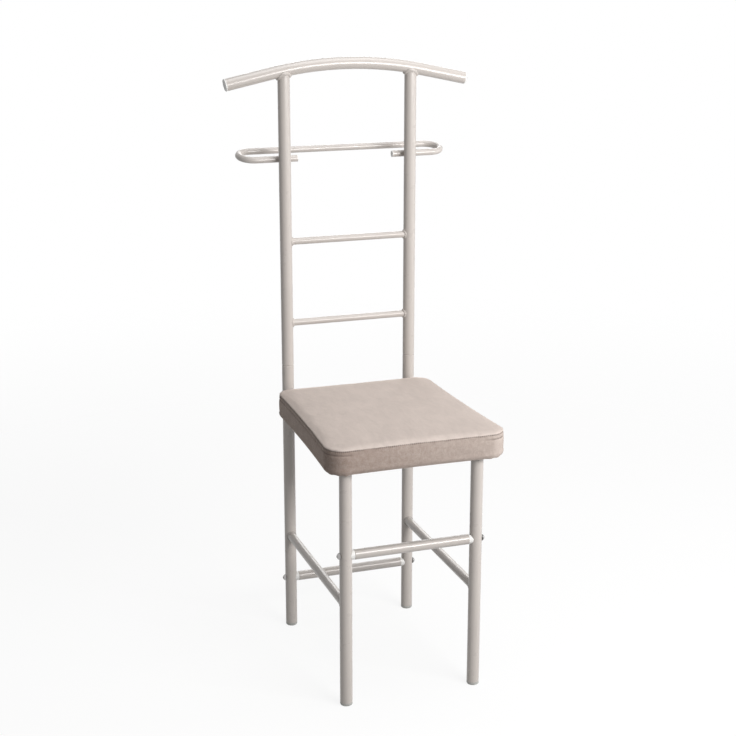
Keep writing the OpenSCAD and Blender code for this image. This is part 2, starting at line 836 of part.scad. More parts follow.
// A lump of weld between the back of each post and the bar that crosses it
module trouser_bar_welds() {
    color(frame_paint)
        for (side = [-1, 1])
            difference() {
                translate([side * leg_x, rear_y + tube_r, bar_z]) sphere(r = bar_r - 0.8);
                translate([side * leg_x, rear_y, bar_z]) cylinder(r = tube_r + weld_gap / 3, h = bar_d, center = true);
                in_bar_plane() translate([side * leg_x, 0, 0]) rod_x(bar_d + weld_gap / 3, bar_d, center = true);
            }
}

left_front_leg();
right_front_leg();
left_rear_leg();
right_rear_leg();
left_side_stretcher();
right_side_stretcher();
left_seat_rail();
right_seat_rail();
stretcher_welds();
rail_welds();
front_cross_tube();
rear_cross_tube();
front_left_saddle_cap();
front_right_saddle_cap();
rear_left_saddle_cap();
rear_right_saddle_cap();
cross_bolts();
cross_nuts();
left_front_foot();
right_front_foot();
left_rear_foot();
right_rear_foot();
front_leg_plugs();
seat_screws();
seat_t_nuts();
seat_board();
seat_foam();
seat_cover();
seat_underlining();
left_spigot();
right_spigot();
left_upper_post();
right_upper_post();
lower_rung();
upper_rung();
rung_welds();
hanger_bar();
left_hanger_cap();
right_hanger_cap();
hanger_welds();
trouser_bar();
trouser_bar_plugs();
trouser_bar_welds();
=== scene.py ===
import math
from functools import reduce

import bpy
import numpy as np
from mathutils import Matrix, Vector


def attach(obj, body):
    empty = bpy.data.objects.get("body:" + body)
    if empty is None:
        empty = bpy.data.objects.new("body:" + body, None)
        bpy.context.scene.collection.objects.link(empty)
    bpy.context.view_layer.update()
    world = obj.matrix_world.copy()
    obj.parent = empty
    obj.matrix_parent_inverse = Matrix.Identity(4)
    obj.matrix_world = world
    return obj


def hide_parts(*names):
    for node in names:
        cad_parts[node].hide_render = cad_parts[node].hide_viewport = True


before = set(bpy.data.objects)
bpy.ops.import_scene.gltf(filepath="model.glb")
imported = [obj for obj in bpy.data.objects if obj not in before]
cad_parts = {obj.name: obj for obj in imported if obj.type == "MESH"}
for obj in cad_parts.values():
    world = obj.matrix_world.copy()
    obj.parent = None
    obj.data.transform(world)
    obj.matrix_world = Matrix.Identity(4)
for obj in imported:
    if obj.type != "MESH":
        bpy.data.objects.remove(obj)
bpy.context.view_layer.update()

scene = bpy.context.scene
scene.view_settings.view_transform = "Standard"

# ---- Camera: the photograph's viewpoint. Lengths are in metres in the whole file ----

YAW, PITCH, DISTANCE = math.radians(-19.051), math.radians(15.901), 2.7087
TARGET = Vector((-0.01557, 0.0, 0.5539))
FOCAL_PX, PICTURE_PX, SENSOR_MM = 1513.2, 736.0, 36.0
to_camera = Vector((math.sin(YAW) * math.cos(PITCH), -math.cos(YAW) * math.cos(PITCH), math.sin(PITCH)))
camera = bpy.data.objects.new("camera", bpy.data.cameras.new("camera"))
scene.collection.objects.link(camera)
camera.location = TARGET + to_camera * DISTANCE
camera.rotation_mode = "QUATERNION"
camera.rotation_quaternion = (-to_camera).to_track_quat("-Z", "Y")
camera.data.sensor_width = SENSOR_MM
camera.data.lens = FOCAL_PX / PICTURE_PX * SENSOR_MM
camera.data.clip_end = 60.0
scene.camera = camera


# ---- Node helpers ----

class Tree:
    """Short names for making and linking the nodes of one tree. A value is a socket, a number or a tuple."""

    def __init__(self, tree):
        self.tree = tree
        tree.nodes.clear()

    def add(self, kind, settings=None, **inputs):
        """A new node. In the name of an input an underscore stands for a space."""
        node = self.tree.nodes.new(kind)
        for key, value in (settings or {}).items():
            setattr(node, key, value)
        for key, value in inputs.items():
            self.put(node, key.replace("_", " "), value)
        return node

    def put(self, node, key, value):
        """Links a socket to an input or sets the input's value. key is its name, or its number as text."""
        socket = node.inputs[int(key) if key.isdigit() else key]
        if isinstance(value, bpy.types.NodeSocket):
            self.tree.links.new(value, socket)
        else:
            socket.default_value = value

    def math(self, operation, a, b=0.0, clamp=False):
        node = self.add("ShaderNodeMath", {"operation": operation, "use_clamp": clamp})
        self.put(node, "0", a)
        self.put(node, "1", b)
        return node.outputs[0]

    def plus(self, *values):
        return reduce(lambda a, b: self.math("ADD", a, b), values)

    def times(self, *values):
        return reduce(lambda a, b: self.math("MULTIPLY", a, b), values)

    def parts(self, vector):
        return self.add("ShaderNodeSeparateXYZ", Vector=vector).outputs

    def coords(self, stretch=(1, 1, 1)):
        """The object's own coordinates. A stretch under 1 on an axis draws a pattern out along it."""
        place = self.add("ShaderNodeTexCoord").outputs["Object"]
        if stretch == (1, 1, 1):
            return place
        return self.add("ShaderNodeMapping", Vector=place, Scale=stretch).outputs[0]

    def noise(self, scale, detail=2.0, stretch=(1, 1, 1), distortion=0.0, rough=0.5):
        return self.add("ShaderNodeTexNoise", Vector=self.coords(stretch), Scale=scale, Detail=detail,
                        Distortion=distortion, Roughness=rough).outputs["Fac"]

    def cells(self, scale, randomness=1.0):
        """The distance to the nearest of many scattered points."""
        return self.add("ShaderNodeTexVoronoi", {"feature": "F1"}, Vector=self.coords(), Scale=scale,
                        Randomness=randomness).outputs["Distance"]

    def spread(self, value, low, high, to_low=0.0, to_high=1.0, kind="LINEAR"):
        """The value carried from the range low..high to the range to_low..to_high, and held at its ends."""
        return self.add("ShaderNodeMapRange", {"interpolation_type": kind}, Value=value, From_Min=low, From_Max=high,
                        To_Min=to_low, To_Max=to_high).outputs[0]

    def opened(self, noise, to_low=0.0, to_high=1.0):
        """A noise opened to a full range, since nearly all of its values lie between 0.3 and 0.7."""
        return self.spread(noise, 0.3, 0.7, to_low, to_high)

    def mix(self, factor, a, b):
        """A colour between a and b, which are inputs 6 and 7 of a colour mix."""
        node = self.add("ShaderNodeMix", {"data_type": "RGBA"})
        self.put(node, "0", factor)
        for key, color in (("6", a), ("7", b)):
            self.put(node, key, color if isinstance(color, bpy.types.NodeSocket) else (*color, 1.0))
        return node.outputs[2]

    def mix_shaders(self, factor, first, second):
        node = self.add("ShaderNodeMixShader")
        for key, value in (("0", factor), ("1", first), ("2", second)):
            self.put(node, key, value)
        return node.outputs[0]

    def bump(self, height, distance, strength=1.0, normal=None):
        node = self.add("ShaderNodeBump", Height=height, Distance=distance, Strength=strength)
        if normal is not None:
            self.put(node, "Normal", normal)
        return node.outputs[0]


def group(name, outputs, build):
    """A shared node group. outputs maps each output's name to its socket type, inputs come from build.sockets."""
    tree = bpy.data.node_groups.new(name, "ShaderNodeTree")
    t = Tree(tree)
    for label, kind, value in build.sockets:
        socket = tree.interface.new_socket(label, in_out="INPUT", socket_type=kind)
        socket.default_value = value
    for label, kind in outputs:
        tree.interface.new_socket(label, in_out="OUTPUT", socket_type=kind)
    build(t, t.add("NodeGroupInput").outputs, t.add("NodeGroupOutput"))
    return tree


def grain(t, given, out):
    """Two noises of one surface: a soft mottle and a fine grain, as a colour factor and as a height."""
    place = t.coords()
    soft = t.add("ShaderNodeTexNoise", Vector=place, Scale=given["Mottle scale"], Detail=3.0).outputs["Fac"]
    fine = t.add("ShaderNodeTexNoise", Vector=place, Scale=given["Grain scale"], Detail=2.0).outputs["Fac"]
    t.put(out, "Factor", t.opened(t.plus(t.times(soft, 0.65), t.times(fine, 0.35))))
    t.put(out, "Height", fine)


grain.sockets = (("Mottle scale", "NodeSocketFloat", 20.0), ("Grain scale", "NodeSocketFloat", 800.0))
GRAIN = group("surface_grain", (("Factor", "NodeSocketFloat"), ("Height", "NodeSocketFloat")), grain)


def with_grain(t, mottle, fine):
    """The shared grain with a material's own two scales."""
    node = t.add("ShaderNodeGroup", {"node_tree": GRAIN})
    t.put(node, "Mottle scale", mottle)
    t.put(node, "Grain scale", fine)
    return node.outputs


def shade(color, k):
    """The colour times k, at most 1 in each channel."""
    return tuple(min(1.0, c * k) for c in color)


# The one colour that a plain viewport shows for every material
PLAIN_VIEW = (0.6, 0.56, 0.52, 1.0)


def surface(name, build, **constants):
    """A material with one Principled shader. constants go on its own sockets, build links the rest."""
    material = bpy.data.materials.new(name)
    material.use_nodes = True
    t = Tree(material.node_tree)
    out = t.add("ShaderNodeOutputMaterial")
    shader = t.add("ShaderNodeBsdfPrincipled", **constants)
    t.put(out, "Surface", shader.outputs[0])
    build(t, shader)
    material.diffuse_color = PLAIN_VIEW
    return material


# ---- Materials ----

PAINT = (0.60, 0.553, 0.517)


def paint(depth=1.0):
    """Satin powder coat: an even greige with a very fine orange peel. depth darkens it."""
    def build(t, s):
        g = with_grain(t, 14.0, 320.0)
        t.put(s, "Base Color", t.mix(g["Factor"], shade(PAINT, 0.975 * depth), shade(PAINT, 1.02 * depth)))
        t.put(s, "Roughness", t.opened(t.noise(60.0, 3.0), 0.27, 0.30))
        t.put(s, "Normal", t.bump(g["Height"], 0.00002, 0.3))
    return build


def bead_paint(depth=1.0):
    """The same coat over a weld bead, whose ripples show through it."""
    def build(t, s):
        g = with_grain(t, 40.0, 420.0)
        t.put(s, "Base Color", t.mix(g["Factor"], shade(PAINT, 0.96 * depth), shade(PAINT, 1.05 * depth)))
        t.put(s, "Roughness", t.spread(g["Factor"], 0.0, 1.0, 0.22, 0.32))
        t.put(s, "Normal", t.bump(g["Height"], 0.0004, 0.5))
    return build


def moulded(color, smooth=0.42, rough=0.52):
    """Moulded plastic with an eroded, finely grained skin, whose roughness lies between smooth and rough."""
    def build(t, s):
        g = with_grain(t, 30.0, 1100.0)
        t.put(s, "Base Color", t.mix(g["Factor"], shade(color, 0.95), shade(color, 1.03)))
        t.put(s, "Roughness", t.spread(g["Factor"], 0.0, 1.0, smooth, rough))
        t.put(s, "Normal", t.bump(g["Height"], 0.00008, 0.5))
    return build


def plated(t, s):
    """Dark chrome with fine turning marks and faint cloudiness."""
    g = with_grain(t, 90.0, 2200.0)
    t.put(s, "Base Color", t.mix(g["Factor"], (0.30, 0.295, 0.29), (0.42, 0.41, 0.405)))
    t.put(s, "Roughness", t.spread(g["Factor"], 0.0, 1.0, 0.08, 0.18))
    t.put(s, "Normal", t.bump(g["Height"], 0.00003, 0.4))


def drawn_steel(t, s):
    """Bare drawn tube with streaks along its length."""
    streaks = t.noise(900.0, 3.0, stretch=(1, 1, 0.02))
    t.put(s, "Base Color", t.mix(streaks, (0.36, 0.36, 0.37), (0.56, 0.56, 0.57)))
    t.put(s, "Roughness", t.opened(streaks, 0.26, 0.42))
    t.put(s, "Normal", t.bump(streaks, 0.00004, 0.4))


PLY_PAIR = 0.0029


def plywood(t, s):
    """Birch plywood: long grain on the faces, and thin plies that alternate on the edges, a dark and a pale one
    in each PLY_PAIR of height."""
    fibres = t.noise(140.0, 4.0, stretch=(1, 0.06, 1), distortion=0.4)
    face = t.mix(t.spread(fibres, 0.35, 0.65), (0.50, 0.35, 0.20), (0.70, 0.54, 0.35))
    height = t.parts(t.coords())["Z"]
    plies = t.spread(t.math("SINE", t.times(height, 2 * math.pi / PLY_PAIR)), -0.3, 0.3)
    edge = t.mix(plies, (0.36, 0.23, 0.12), (0.66, 0.50, 0.32))
    up = t.math("ABSOLUTE", t.parts(t.add("ShaderNodeNewGeometry").outputs["Normal"])["Z"])
    t.put(s, "Base Color", t.mix(t.spread(up, 0.4, 0.6), edge, face))
    t.put(s, "Roughness", t.opened(fibres, 0.62, 0.8))
    t.put(s, "Normal", t.bump(fibres, 0.0002, 0.4))


def lining(t, s):
    """Thin black non-woven cloth with its pattern of tiny bonded points."""
    points = t.cells(520.0, 0.2)
    fibres = t.noise(1600.0, 3.0)
    t.put(s, "Base Color", t.mix(t.spread(points, 0.15, 0.5), (0.012, 0.012, 0.013), (0.045, 0.044, 0.044)))
    t.put(s, "Roughness", t.opened(fibres, 0.85, 0.97))
    t.put(s, "Normal", t.bump(t.plus(points, t.times(fibres, 0.4)), 0.0003, 0.6))


def foam(t, s):
    """Open-cell foam: a pale yellow with small pores."""
    pores = t.cells(700.0)
    t.put(s, "Base Color", t.mix(t.spread(pores, 0.1, 0.6), (0.62, 0.56, 0.36), (0.84, 0.79, 0.58)))
    t.put(s, "Roughness", t.spread(pores, 0.0, 0.6, 0.88, 0.98))
    t.put(s, "Normal", t.bump(pores, 0.0006, 0.7))


# The velvet's ground colour, the top panel's, which is paler as painted sheen and top light, and the boxing's
# darkest and palest, between which its mottle and its painted light and shade run
VELVET = (0.43, 0.346, 0.302)
PANEL = (0.59, 0.516, 0.474)
BOXING_DARK, BOXING_PALE = (0.275, 0.202, 0.168), (0.576, 0.498, 0.453)
# The length of a stitch, and how far the second row of stitches lies below the seam
STITCH, SECOND_ROW = 0.0036, 0.0072


def velvet(t, s):
    """Short-pile velvet: clouds where the pile leans one way or the other, brushed streaks, blotches, the fine pile,
    and the needle marks along the sewn seam. The top panel is paler than the boxing as painted sheen and top
    light, the rolled edge over the seam is the palest as a painted highlight, and the boxing carries painted light
    and shade. The seam and the crease of the second row are darkened as painted shade. The UV map runs round the
    seat in metres, with v = 0 on the seam, and the attribute gather says how hard the second row of stitches is
    drawn in."""
    clouds = t.noise(16.0, 4.0, stretch=(1.0, 0.7, 1.0), distortion=0.8, rough=0.6)
    strokes = t.noise(75.0, 4.0, stretch=(1.0, 0.32, 1.0), distortion=0.5, rough=0.62)
    blotches = t.noise(150.0, 3.0, distortion=0.6, rough=0.6)
    fibres = t.noise(430.0, 2.0, rough=0.6)
    pile = t.noise(1500.0, 3.0, rough=0.7)
    uv = t.parts(t.add("ShaderNodeUVMap", {"uv_map": "seam"}).outputs[0])
    place = t.parts(t.coords())

    # The two fields: a brushed panel over a mottled boxing. Painted light and shade on the boxing make it darker to
    # the left and paler to the right, with a painted highlight at the front right corner, and paler to the rear
    tone = t.plus(t.times(t.opened(clouds), 0.5), t.times(t.opened(strokes), 0.5))
    mottle = t.plus(t.times(t.opened(blotches), 0.28), t.times(t.opened(fibres), 0.19), t.times(tone, 0.15))
    painted_light_gradient = t.plus(t.spread(place["X"], -0.16, 0.16, -0.09, 0.46), t.spread(place["Y"], -0.17, 0.10, 0.0, 0.22),
                  t.spread(place["X"], 0.12, 0.158, 0.0, 0.35, "SMOOTHSTEP"))
    boxing = t.mix(t.plus(mottle, painted_light_gradient), BOXING_DARK, BOXING_PALE)
    panel = t.mix(tone, shade(PANEL, 0.87), shade(PANEL, 1.10))
    color = t.mix(t.spread(uv["Y"], 0.0, 0.003), boxing, panel)

    # A painted highlight along the rolled edge over the seam, then the pile's fine speckle over everything
    edge = t.times(t.spread(uv["Y"], 0.0, 0.002), t.spread(uv["Y"], 0.004, 0.018, 1.0, 0.0, "SMOOTHSTEP"))
    color = t.mix(t.times(edge, t.opened(strokes, 0.3, 0.9)), color, shade(PANEL, 1.16))
    color = t.mix(t.times(t.spread(pile, 0.35, 0.65), 0.3), color, shade(VELVET, 0.84))

    # The seam, whose line wanders a little, and its needle marks are darkened as painted shade in the seam's groove,
    # and the crease along the second row of stitches as painted shade in the crease, both pulled unevenly
    wander = t.times(t.math("SUBTRACT", t.noise(55.0, 3.0), 0.5), 0.0055)
    near = t.spread(t.math("ABSOLUTE", t.plus(uv["Y"], wander)), 0.0002, 0.0026, 1.0, 0.0, "SMOOTHSTEP")
    needle = t.spread(t.math("SINE", t.times(uv["X"], 2 * math.pi / STITCH)), -0.2, 0.9)
    pull = t.spread(t.noise(48.0, 2.0), 0.36, 0.64, 0.3, 1.0)
    color = t.mix(t.times(near, pull, t.spread(needle, 0.0, 1.0, 0.4, 1.0)), color, shade(VELVET, 0.38))
    gather = t.add("ShaderNodeAttribute", {"attribute_name": "gather"}).outputs["Fac"]
    off_row = t.math("ABSOLUTE", t.plus(uv["Y"], SECOND_ROW))
    painted_crease_shade = t.spread(off_row, 0.0003, 0.0016, 1.0, 0.0, "SMOOTHSTEP")
    color = t.mix(t.times(painted_crease_shade, gather, t.times(pull, 0.75)), color, shade(VELVET, 0.42))

    t.put(s, "Base Color", color)
    t.put(s, "Roughness", t.spread(tone, 0.0, 1.0, 0.86, 0.96))
    normal = t.bump(t.plus(clouds, t.times(strokes, 0.5)), 0.004, 0.25)
    normal = t.bump(t.plus(pile, t.times(fibres, 0.6)), 0.0005, 0.35, normal)
    t.put(s, "Normal", t.bump(t.times(near, needle, -1.0), 0.0007, 0.8, normal))


coat = surface("frame_coat", paint(), Specular_IOR_Level=0.55)
bar_coat = surface("bar_coat", paint(0.98), Specular_IOR_Level=0.95)
# The cross tubes' coat is a darker copy of the frame's, as painted shade under the seat
shaded_cross_coat = surface("cross_tube_coat", paint(0.90), Specular_IOR_Level=0.9)
bead_coat = surface("bead_coat", bead_paint(), Specular_IOR_Level=0.55)
# The welds at the stretchers and rails get a darker bead coat, as painted shadow in the joints' gaps
shaded_bead_coat = surface("shaded_bead_coat", bead_paint(0.72), Specular_IOR_Level=0.55)
glide = surface("glide_plastic", moulded((0.50, 0.50, 0.475)))
cap = surface("cap_plastic", moulded((0.90, 0.893, 0.875)),
              Subsurface_Weight=0.05, Subsurface_Radius=(0.002, 0.002, 0.002))
black = surface("plug_plastic", moulded((0.028, 0.028, 0.029), 0.5, 0.62))
zinc = surface("dark_chrome", plated, Metallic=1.0)
steel = surface("drawn_steel", drawn_steel, Metallic=1.0)
ply = surface("seat_plywood", plywood)
cloth_lining = surface("underlining_cloth", lining)
foam_look = surface("seat_foam", foam)
velvet_look = surface("seat_velvet", velvet, Sheen_Weight=0.6, Sheen_Roughness=0.35, Sheen_Tint=(1.0, 0.87, 0.79, 1.0),
                      Specular_IOR_Level=0.2)

# Each node takes the first look with an ending of its name
LOOKS = {
    coat: ("leg", "stretcher", "rail", "post", "rung"),
    bar_coat: ("hanger_bar", "trouser_bar"),
    shaded_cross_coat: ("cross_tube",),
    shaded_bead_coat: ("stretcher_welds", "rail_welds"),
    bead_coat: ("welds",),
    glide: ("foot",),
    cap: ("cap", "trouser_bar_plugs"),
    black: ("front_leg_plugs",),
    zinc: ("bolts", "nuts", "screws"),
    steel: ("spigot",),
    ply: ("seat_board",),
    cloth_lining: ("seat_underlining",),
    foam_look: ("seat_foam",),
    velvet_look: ("seat_cover",),
}
for name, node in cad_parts.items():
    look = next(material for material, endings in LOOKS.items() if name.endswith(endings))
    for slot in node.material_slots:
        slot.material = look


# ---- The seat's cushion ----

# The outline from above: its middle, depth, front and rear width, the corners' radii and how far its sides sag in
SEAT_Y, SEAT_L, FRONT_W, REAR_W = -0.04498, 0.370, 0.325, 0.302
FRONT_R, REAR_R, SIDE_SAG = 0.034, 0.030, 0.0025
# Heights of the underside and of the seam, then the foot and the span of the boxing's bulge, and how deep it is
SEAT_Z, SEAM_Z = 0.439, 0.482
BULGE_Z, BULGE_H, BULGE = 0.449, 0.033, 0.0008
# The fold under the board, the rolled base at its edge, and the width and height of the roll over the seam
FOLD, BASE_EDGE, BASE_R, ROLL_W, ROLL_H = 0.022, 0.0108, 0.010, 0.017, 0.005
COVER_T = 0.0015
ARC_POINTS, SIDE_POINTS = 13, 40


def run_of(line):
    """The distance along a line of points, from its first point to each."""
    return np.concatenate(([0], np.cumsum(np.linalg.norm(np.diff(line, axis=0), axis=1))))


def ring(n, inset):
    """The seat's outline seen from above, drawn in by inset: four corner arcs and four sides that sag inwards as
    parabolas. Each of the four spans runs from the middle of one corner to the middle of the next and has 2n
    steps of equal length, measured on the outline itself, so that rings of any inset share their columns."""
    corners = ((1, 1), (-1, 1), (-1, -1), (1, -1))  # the signs of x and y, with the rear at +y
    spans = []
    for k in range(4):
        arcs = []
        for step, (start, stop) in enumerate(((45, 90), (0, 45))):
            sx, sy = corners[(k + step) % 4]
            r = REAR_R if sy > 0 else FRONT_R
            w = REAR_W if sy > 0 else FRONT_W
            centre = np.array((sx * (w / 2 - r), sy * (SEAT_L / 2 - r)))
            angle = np.radians(90.0 * ((k + step) % 4) + np.linspace(start, stop, ARC_POINTS))
            direction = np.stack((np.cos(angle), np.sin(angle)), -1)
            arcs.append((centre + (r - inset) * direction, centre + r * direction))
        u = np.linspace(0, 1, SIDE_POINTS + 2)[1:-1, None]
        lines = []
        for first, last in zip(*arcs):
            a, b = first[-1], last[0]
            inward = np.array((a[1] - b[1], b[0] - a[0])) / np.linalg.norm(b - a)
            side = a + (b - a) * u + inward * SIDE_SAG * 4 * u * (1 - u)
            lines.append(np.vstack((first, side, last)))
        line, outline = lines
        run = run_of(outline)
        want = np.linspace(0, run[-1], 2 * n + 1)
        spans.append(np.stack([np.interp(want, run, line[:, i]) for i in (0, 1)], -1))
    return spans


def closed_ring(n, inset):
    """The four spans as one closed loop of 8n points."""
    return np.vstack([span[:-1] for span in ring(n, inset)])


def patch(spans, n):
    """The points inside a ring, as the grid that blends its four spans (a Coons patch): the blend of the front and
    rear spans, plus the blend of the left and right ones, less the blend of the four corners."""
    rear, left, front, right = spans
    u = np.linspace(0, 1, 2 * n + 1)[:, None, None]
    v = np.linspace(0, 1, 2 * n + 1)[None, :, None]
    low, high = front[:, None, :], rear[::-1][:, None, :]
    near, far = left[::-1][None, :, :], right[None, :, :]
    blend = (1 - v) * low + v * high + (1 - u) * near + u * far
    flat = (1 - u) * (1 - v) * front[0] + u * (1 - v) * front[-1] + (1 - u) * v * rear[-1] + u * v * rear[0]
    return blend - flat


def shell_rows(shrink=0.0):
    """Profile of the cover as (inset, height) rows: the fold under the board, the rolled base, the boxing with its
    slight bulge, the seam drawn in, and the roll up to the top panel. shrink moves the boxing and the top inwards.
    The base is a quarter circle, the boxing's inset BULGE * (1 - sin(pi * height over the bulge's foot / BULGE_H)),
    and the roll a quarter ellipse."""
    rows = [(x, SEAT_Z) for x in (FOLD, 0.0185, 0.0145, BASE_EDGE)]
    rows += [(BASE_EDGE - BASE_R * math.sin(a), SEAT_Z + BASE_R * (1 - math.cos(a)))
             for a in np.radians((18, 36, 54, 72, 90))]
    heights = np.array((0.4522, 0.4556, 0.459, 0.4624, 0.4658, 0.469, 0.4714, 0.4732, 0.4744, 0.4752, 0.476, 0.4772,
                        0.4787, 0.4801, 0.4812))
    bulge = BULGE * (1 - np.sin(np.pi * (heights - BULGE_Z) / BULGE_H))
    rows += list(zip(bulge + shrink, heights))
    rows += [(0.0016 + shrink, SEAM_Z), (0.0009 + shrink, SEAM_Z + 0.0009)]
    rows += [(0.0008 + shrink + ROLL_W * (1 - math.cos(a)), SEAM_Z + 0.002 + (ROLL_H - shrink) * math.sin(a))
             for a in np.radians((6, 16, 28, 41, 54, 67, 79, 90))]
    return rows


def swept(rows, n):
    """The profile's rows carried round the outline, as rows of 8n points."""
    strip = []
    for inset, height in rows:
        loop = closed_ring(n, inset)
        strip.append(np.column_stack((loop[:, 0], loop[:, 1] + SEAT_Y, np.full(len(loop), height))))
    return np.array(strip)


def domed(rows, n, crown):
    """The top panel inside the last row, whose height is that row's plus
    crown * (1 - X^2)^1.2 * (1 - Y^2)^1.2, where X and Y run from -1 to 1 over the panel."""
    grid = patch(ring(n, rows[-1][0]), n)
    x = grid[..., 0] / np.abs(grid[..., 0]).max(axis=0, keepdims=True)
    y = grid[..., 1] / np.abs(grid[..., 1]).max(axis=1, keepdims=True)
    dome = np.clip(1 - x * x, 0, 1) ** 1.2 * np.clip(1 - y * y, 0, 1) ** 1.2
    return np.dstack((grid[..., 0], grid[..., 1] + SEAT_Y, rows[-1][1] + crown * dome))


def within(grid):
    """A grid's points without its rim, which is a row of the swept skin."""
    return grid[1:-1, 1:-1].reshape(-1, 3)


def skin_faces(rows, n):
    """Quads of the swept rows and of the top grid. The grid's rim is the last row."""
    m = 8 * n
    r, c = np.meshgrid(np.arange(rows - 1), np.arange(m), indexing="ij")
    nxt = (c + 1) % m
    strip = np.stack((r * m + c, r * m + nxt, (r + 1) * m + nxt, (r + 1) * m + c), -1).reshape(-1, 4)
    size = 2 * n + 1
    index = np.zeros((size, size), int)
    rim = (rows - 1) * m + np.arange(m)
    index[:, -1] = rim[:2 * n + 1][::-1]
    index[0, :] = rim[2 * n:4 * n + 1][::-1]
    index[:, 0] = rim[4 * n:6 * n + 1]
    index[-1, :] = np.append(rim[6 * n:], rim[0])
    index[1:-1, 1:-1] = rows * m + np.arange((size - 2) ** 2).reshape(size - 2, size - 2)
    top = np.stack((index[:-1, :-1], index[1:, :-1], index[1:, 1:], index[:-1, 1:]), -1).reshape(-1, 4)
    return strip, top


def new_mesh(name, points, faces):
    """A smooth piece at the origin, from an array of points and an array of quads."""
    mesh = bpy.data.meshes.new(name)
    mesh.vertices.add(len(points))
    mesh.vertices.foreach_set("co", np.asarray(points, np.float32).ravel())
    mesh.loops.add(faces.size)
    mesh.loops.foreach_set("vertex_index", faces.astype(np.int32).ravel())
    mesh.polygons.add(len(faces))
    mesh.polygons.foreach_set("loop_start", np.arange(0, faces.size, faces.shape[1], dtype=np.int32))
    mesh.polygons.foreach_set("use_smooth", np.ones(len(faces), bool))
    mesh.update(calc_edges=True)
    mesh.validate()
    piece = bpy.data.objects.new(name, mesh)
    scene.collection.objects.link(piece)
    return piece


def normals_of(points, faces):
    """Vertex normals of a quad mesh, each the sum of its faces' cross products of their diagonals."""
    a, b, c, d = (points[faces[:, i]] for i in range(4))
    cross = np.cross(c - a, d - b)
    total = np.zeros_like(points)
    for i in range(4):
        np.add.at(total, faces[:, i], cross)
    return total / np.linalg.norm(total, axis=1, keepdims=True)


SWELL_FRAMES, SWELL_CAP = 20, 0.0035


def swelling(points, faces, held):
    """How far each point of the skin moves in cloth that air pushes out, while the held points stay. The way is
    capped as SWELL_CAP * tanh(way / SWELL_CAP)."""
    piece = new_mesh("cloth_trial", points, faces)
    pins = piece.vertex_groups.new(name="held")
    pins.add(np.flatnonzero(held).tolist(), 1.0, "REPLACE")
    modifier = piece.modifiers.new("cloth", "CLOTH")
    s = modifier.settings
    s.quality, s.mass, s.air_damping = 6, 0.35, 2.0
    s.tension_stiffness = s.compression_stiffness = 22.0
    s.shear_stiffness, s.bending_stiffness = 8.0, 0.6
    s.use_pressure, s.uniform_pressure_force = True, 1.2
    s.shrink_min = -0.001
    s.effector_weights.gravity = 0.0
    s.vertex_group_mass = "held"
    modifier.collision_settings.use_collision = False
    modifier.point_cache.frame_start, modifier.point_cache.frame_end = 1, SWELL_FRAMES
    for number in range(1, SWELL_FRAMES + 1):
        scene.frame_set(number)
    moved = np.empty(len(points) * 3, np.float32)
    piece.evaluated_get(bpy.context.evaluated_depsgraph_get()).data.vertices.foreach_get("co", moved)
    scene.frame_set(1)
    bpy.data.objects.remove(piece)
    way = moved.reshape(-1, 3) - points
    size = np.maximum(np.linalg.norm(way, axis=1, keepdims=True), 1e-9)
    return way * SWELL_CAP * np.tanh(size / SWELL_CAP) / size


# N sets the columns, 2N to each of the four spans. The skin starts a little small, because the cloth swells
N, START_SHRINK, CROWN = 44, 0.0012, 0.003
# How many rows of the profile the board holds, then the rows of the pleats, of the second stitches and of the seam
BASE_ROWS, LOW_BASE_ROW, CREASE_ROW, SEAM_ROW = 7, 5, 18, 24
start_rows = shell_rows(START_SHRINK)
strip, top = swept(start_rows, N), domed(start_rows, N, CROWN)
ROWS, COLUMNS = strip.shape[:2]
points = np.vstack((strip.reshape(-1, 3), within(top)))
strip_faces, top_faces = skin_faces(ROWS, N)
faces = np.vstack((strip_faces, top_faces))
profile = run_of(np.array(shell_rows()))
profile -= profile[SEAM_ROW]

# The cloth is simulated on the rows that lie about a column's width apart, held at the base and along the seam. The
# rows between them move by what the nearest two move.
SPARSE = np.array([*range(14), 15, CREASE_ROW, 21, SEAM_ROW, *range(28, ROWS)])
SMOOTHINGS = 12
sparse_faces = np.vstack(skin_faces(len(SPARSE), N))
sparse_points = np.vstack((strip[SPARSE].reshape(-1, 3), within(top)))
held = np.zeros(len(sparse_points), bool)
held[:BASE_ROWS * COLUMNS] = True
seam_at = int(np.flatnonzero(SPARSE == SEAM_ROW)[0]) * COLUMNS
held[seam_at:seam_at + COLUMNS] = True
way = swelling(sparse_points, sparse_faces, held)
on_rows = way[:len(SPARSE) * COLUMNS].reshape(len(SPARSE), COLUMNS, 3)
for smoothing in range(SMOOTHINGS):
    on_rows = (np.roll(on_rows, 1, axis=1) + 2 * on_rows + np.roll(on_rows, -1, axis=1)) / 4
upper = np.clip(np.searchsorted(SPARSE, np.arange(ROWS)), 1, len(SPARSE) - 1)
span = profile[SPARSE[upper]] - profile[SPARSE[upper - 1]]
share = ((profile - profile[SPARSE[upper - 1]]) / span)[:, None, None]
between = on_rows[upper - 1] * (1 - share) + on_rows[upper] * share
points += np.vstack((between.reshape(-1, 3), way[len(SPARSE) * COLUMNS:]))

